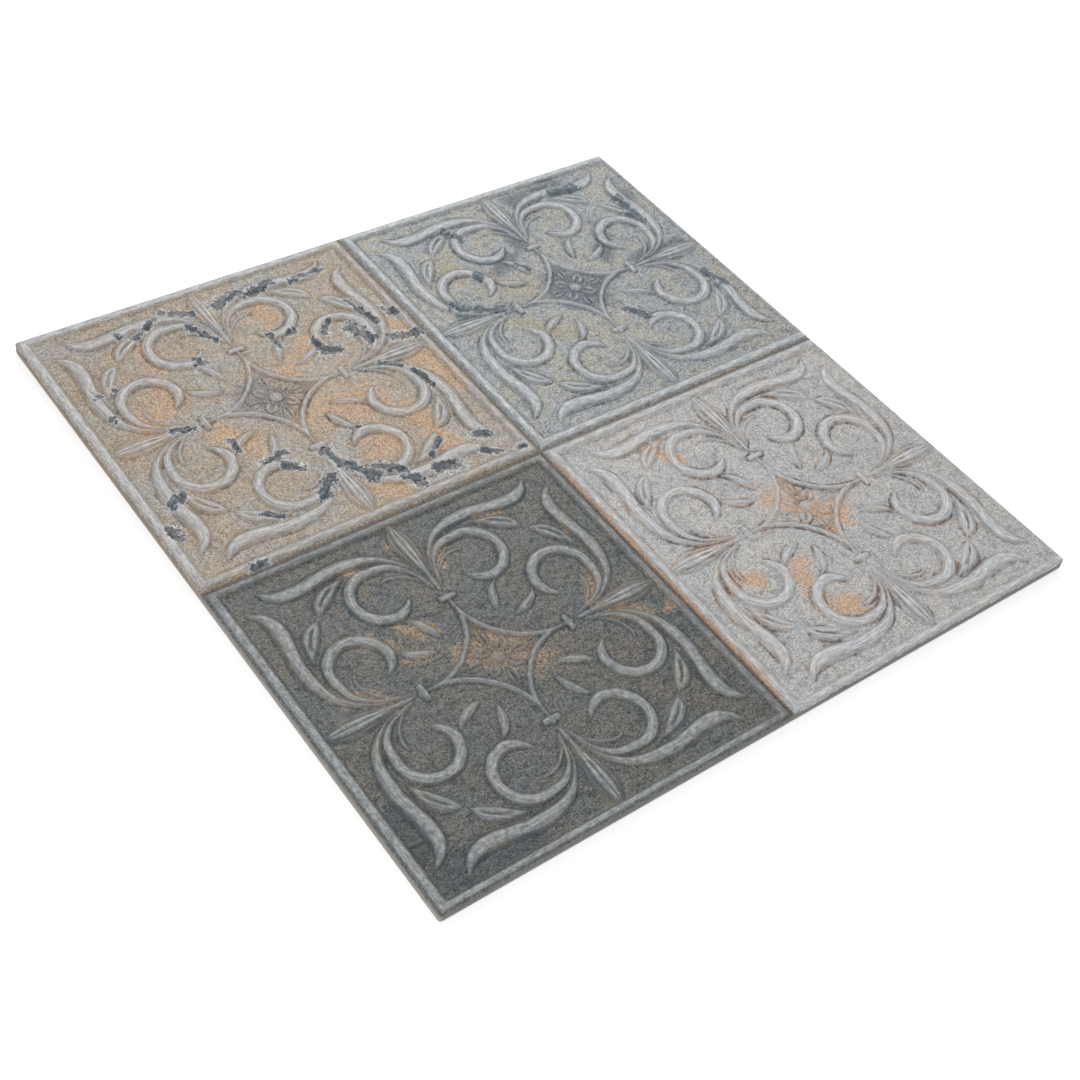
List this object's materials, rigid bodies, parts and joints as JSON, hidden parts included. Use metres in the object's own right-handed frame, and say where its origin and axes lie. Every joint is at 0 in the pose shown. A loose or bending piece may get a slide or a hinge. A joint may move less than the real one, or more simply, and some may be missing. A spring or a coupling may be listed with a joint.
{
  "type": "porcelain wall tile",
  "caption": "Square glazed porcelain wall tile with a scored cross and four pressed panels of scroll relief inside raised rims.",
  "frame": {"origin": "centre of the flat back, on the back's plane", "axes": "+Z out of the decorated face, +X and +Y along two sides of the square"},
  "size_m": [0.333, 0.333, 0.007],
  "materials": {
    "glazed_porcelain": "aged satin glaze in greys, cream and rust, with an unglazed side and back"
  },
  "bodies": {
    "root": {"tile": "glazed_porcelain"}
  },
  "joints": []
}
